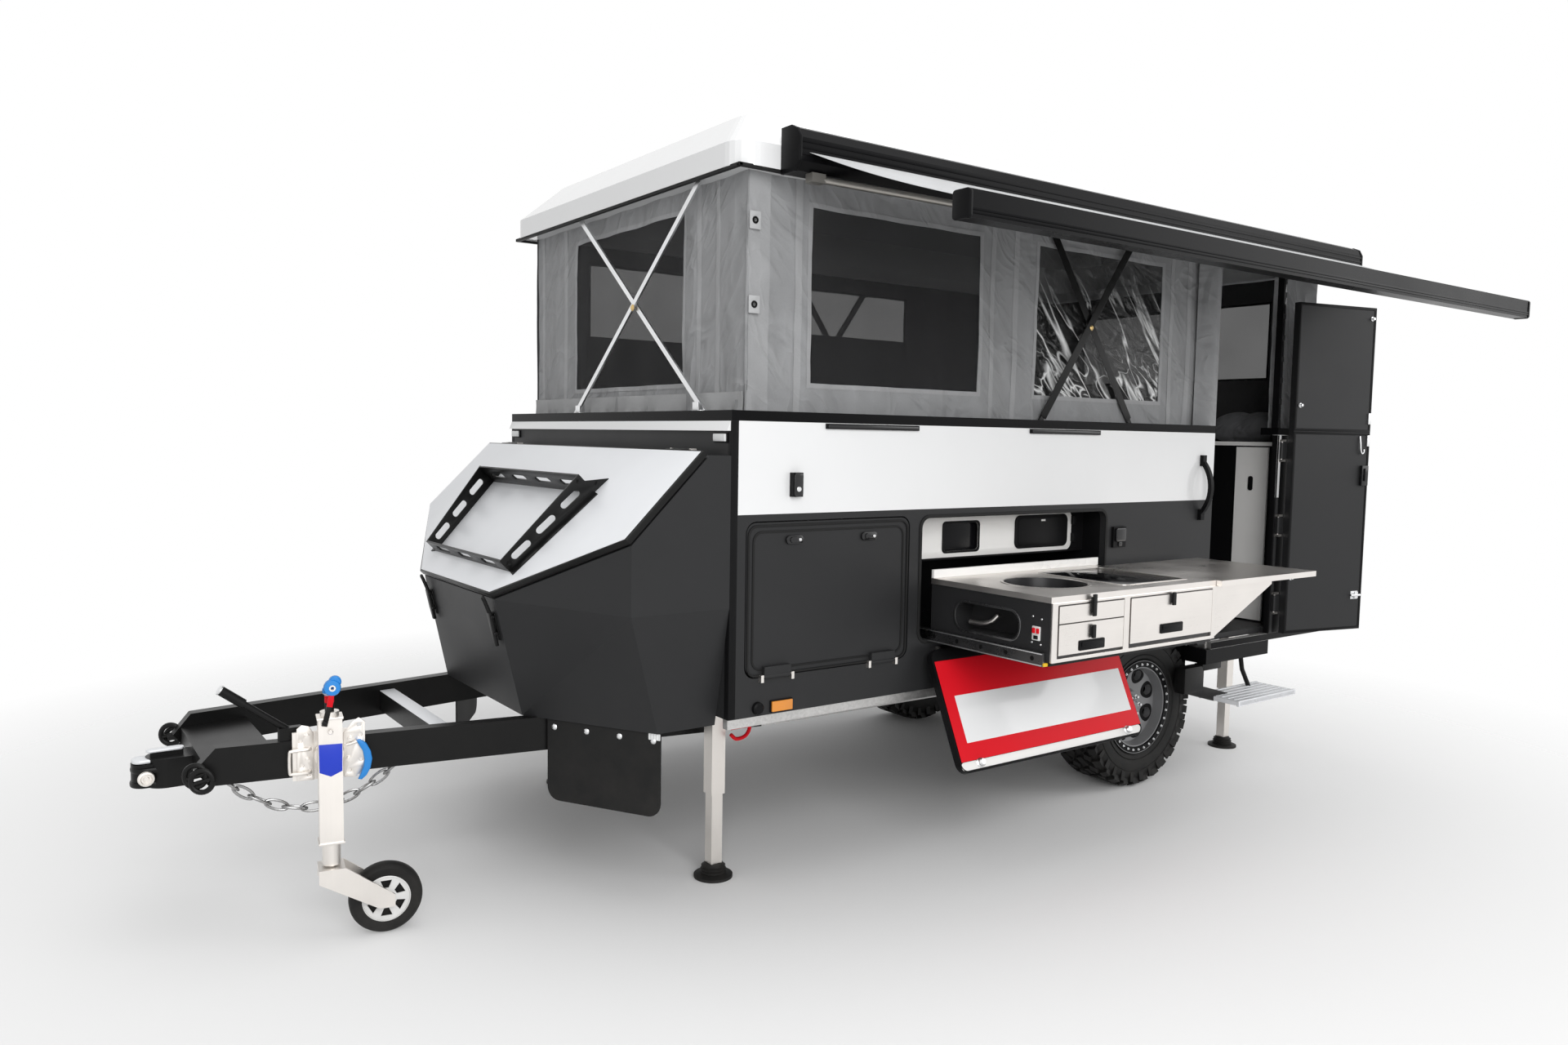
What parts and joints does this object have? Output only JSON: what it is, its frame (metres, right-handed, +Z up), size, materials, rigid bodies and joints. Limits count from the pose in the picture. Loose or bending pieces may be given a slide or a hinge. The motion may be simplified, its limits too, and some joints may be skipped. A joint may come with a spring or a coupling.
{
  "type": "camper trailer",
  "caption": "Off-road camper trailer with raised pop-top roof, tent walls, slide-out side kitchen, part-open awning, open entry door and jockey wheel.",
  "frame": {"origin": "middle of the coupling's pin socket at its lower mouth, on the trailer's centreline", "axes": "+X rearward along the trailer, +Y to the trailer's right, +Z up"},
  "size_m": [5.8082, 2.954, 2.885],
  "materials": {
    "galvanised": "galvanised steel",
    "black_steel": "satin black paint",
    "body_grey": "dark grey composite panel, satin",
    "body_white": "white composite panel, gloss",
    "black_plastic": "matte black",
    "white_board": "white cabinet board",
    "canvas": "grey tent canvas",
    "window_sheet": "clear vinyl and mesh",
    "awning_cloth": "pale awning cloth",
    "aluminium": "bare aluminium",
    "steel": "brushed stainless steel",
    "tyre": "rubber",
    "rim": "dark grey alloy",
    "rubber": "matte black rubber",
    "upholstery": "dark upholstery",
    "lens": "lamp lenses",
    "lid": "silver-grey painted sheet",
    "spring": "painted spring steel",
    "jockey_white": "white moulded plastic"
  },
  "bodies": {
    "trailer": {"chassis": "galvanised", "drawbar": "black_steel", "coupling": "black_steel", "brake_lever": "black_plastic", "safety_chains": "galvanised", "jockey_clamp": "galvanised", "trailing_arms": "black_steel", "coil_springs": "spring", "wheel_guards": "black_plastic", "body_floor": "body_grey", "wall_left": "body_grey", "wall_right": "body_grey", "wall_front": "body_grey", "wall_rear": "body_grey", "side_bands": "body_white", "top_rail": "black_plastic", "sill_box": "black_steel", "door_posts": "black_plastic", "nose_box": "body_grey", "stone_flaps": "rubber", "stabiliser_legs": "galvanised", "entry_step": "aluminium", "roof_shell": "body_white", "tent_walls": "canvas", "tent_windows": "window_sheet", "roof_struts": "aluminium", "side_struts": "black_steel", "awning_case": "black_plastic", "awning_cloth": "awning_cloth", "awning_rail": "black_plastic", "awning_arms": "aluminium", "kitchen_bay": "white_board", "kitchen_slides": "steel", "kitchen_box": "black_steel", "kitchen_top": "steel", "kitchen_drawers": "steel", "kitchen_flap": "steel", "cabin_cabinet": "black_plastic", "cabin_panel": "white_board", "cabin_cushion": "upholstery", "body_fittings": "black_plastic", "lamps": "lens", "hinge_pins": "steel"},
    "wheel_left": {"tyre_left": "tyre", "rim_left": "rim"},
    "wheel_right": {"tyre_right": "tyre", "rim_right": "rim"},
    "jockey_leg": {"jockey_leg": "galvanised"},
    "jockey_fork": {"jockey_fork": "galvanised"},
    "jockey_wheel": {"jockey_wheel": "jockey_white"},
    "entry_door": {"door_lower": "body_grey", "door_upper": "body_grey"},
    "boot_hatch_left": {"boot_hatch_left": "body_grey"},
    "boot_hatch_right": {"boot_hatch_right": "body_grey"},
    "kitchen_hatch": {"kitchen_hatch": "body_white"},
    "nose_lid": {"nose_lid": "lid"}
  },
  "joints": [
    {"name": "wheel_left_spin", "type": "hinge", "parent": "trailer", "child": "wheel_left", "pos_m": [4.162, -0.775, -0.09], "axis": [0, 1, 0], "continuous": true},
    {"name": "wheel_right_spin", "type": "hinge", "parent": "trailer", "child": "wheel_right", "pos_m": [4.162, 0.775, -0.09], "axis": [0, 1, 0], "continuous": true},
    {"name": "jockey_swing", "type": "hinge", "parent": "trailer", "child": "jockey_leg", "pos_m": [0.4302, -0.44989, 0.13], "axis": [-0.168, -0.9858, 0], "range_deg": [0, 90]},
    {"name": "jockey_swivel", "type": "hinge", "parent": "jockey_leg", "child": "jockey_fork", "pos_m": [0.4302, -0.44989, -0.21], "axis": [0, 0, 1], "continuous": true},
    {"name": "jockey_wheel_spin", "type": "hinge", "parent": "jockey_fork", "child": "jockey_wheel", "pos_m": [0.59778, -0.47845, -0.37], "axis": [0.168, 0.9858, 0], "continuous": true},
    {"name": "entry_door_swing", "type": "hinge", "parent": "trailer", "child": "entry_door", "pos_m": [5.13, -1.01, 0.71], "axis": [0, 0, 1], "range_deg": [-167, 8]},
    {"name": "boot_hatch_left_swing", "type": "hinge", "parent": "trailer", "child": "boot_hatch_left", "pos_m": [2.106, -1.01, 0.355], "axis": [1, 0, 0], "range_deg": [0, 170]},
    {"name": "boot_hatch_right_swing", "type": "hinge", "parent": "trailer", "child": "boot_hatch_right", "pos_m": [2.106, 1.01, 0.355], "axis": [-1, 0, 0], "range_deg": [0, 170]},
    {"name": "kitchen_hatch_swing", "type": "hinge", "parent": "trailer", "child": "kitchen_hatch", "pos_m": [3.132, -1.01, 0.374], "axis": [1, 0, 0], "range_deg": [-40, 0]},
    {"name": "nose_lid_swing", "type": "hinge", "parent": "trailer", "child": "nose_lid", "pos_m": [1.576, 0, 1.169], "axis": [0, 1, 0], "range_deg": [0, 60]}
  ]
}
